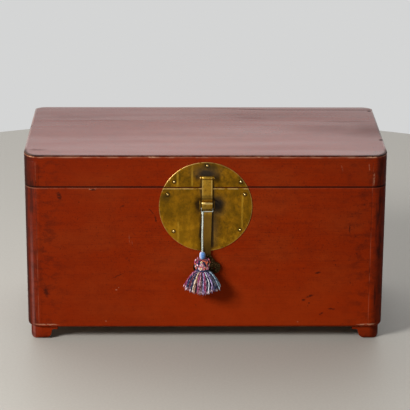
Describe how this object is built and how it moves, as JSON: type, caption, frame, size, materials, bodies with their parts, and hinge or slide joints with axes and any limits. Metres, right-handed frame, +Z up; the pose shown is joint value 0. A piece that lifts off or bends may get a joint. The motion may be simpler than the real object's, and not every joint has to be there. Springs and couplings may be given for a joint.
{
  "type": "lacquered wedding chest",
  "caption": "Low rectangular lidded wooden storage chest with rounded corners, bracket feet, a round brass lock plate, a hinged hasp and a yarn tassel.",
  "frame": {"origin": "on the surface the chest stands on, under the middle of the chest", "axes": "+X to the right along the chest's length as seen from its front, -Y out of the front where the lock is, +Z up"},
  "size_m": [0.76, 0.4264, 0.4215],
  "materials": {
    "lacquer": "worn red-brown gloss lacquer over wood",
    "raw_wood": "plain planed wood",
    "brass": "aged, softly brushed, dark in the hollows",
    "pale_cord": "twisted cord",
    "blue_yarn": "wrapped yarn",
    "pink_yarn": "knotted yarn",
    "navy_yarn": "wound yarn",
    "mixed_yarn": "loose strands of several colours"
  },
  "bodies": {
    "box": {"front_board": "lacquer", "back_board": "lacquer", "left_board": "lacquer", "right_board": "lacquer", "front_left_post": "lacquer", "front_right_post": "lacquer", "back_left_post": "lacquer", "back_right_post": "lacquer", "bottom_board": "raw_wood", "front_left_foot": "lacquer", "front_right_foot": "lacquer", "back_left_foot": "lacquer", "back_right_foot": "lacquer", "box_plate": "brass", "box_plate_nails": "brass", "left_staple": "brass", "right_staple": "brass", "left_hinge_lower_leaf": "brass", "right_hinge_lower_leaf": "brass", "left_hinge_pin": "brass", "right_hinge_pin": "brass", "lower_hinge_nails": "brass"},
    "lid": {"lid_top": "lacquer", "lid_front_rail": "lacquer", "lid_back_rail": "lacquer", "lid_left_rail": "lacquer", "lid_right_rail": "lacquer", "lid_front_left_block": "lacquer", "lid_front_right_block": "lacquer", "lid_back_left_block": "lacquer", "lid_back_right_block": "lacquer", "lid_plate": "brass", "lid_plate_nails": "brass", "left_pin_eye": "brass", "right_pin_eye": "brass", "hasp_pin": "brass", "left_hinge_upper_leaf": "brass", "right_hinge_upper_leaf": "brass", "upper_hinge_nails": "brass"},
    "hasp": {"hasp": "brass"},
    "tassel": {"tassel_loop": "pale_cord", "tassel_cord": "pale_cord", "tassel_bead": "blue_yarn", "tassel_head": "pink_yarn", "tassel_tie": "navy_yarn", "tassel_skirt": "mixed_yarn"}
  },
  "joints": [
    {"name": "lid_hinge", "type": "hinge", "parent": "box", "child": "lid", "pos_m": [0, 0.1979, 0.344], "axis": [-1, 0, 0], "range_deg": [0, 105]},
    {"name": "hasp_hinge", "type": "hinge", "parent": "lid", "child": "hasp", "pos_m": [0.003, -0.192, 0.3665], "axis": [-1, 0, 0], "range_deg": [0, 170]},
    {"name": "tassel_swing", "type": "hinge", "parent": "hasp", "child": "tassel", "pos_m": [0.003, -0.19442, 0.3012], "axis": [-1, 0, 0], "range_deg": [0, 60]}
  ]
}
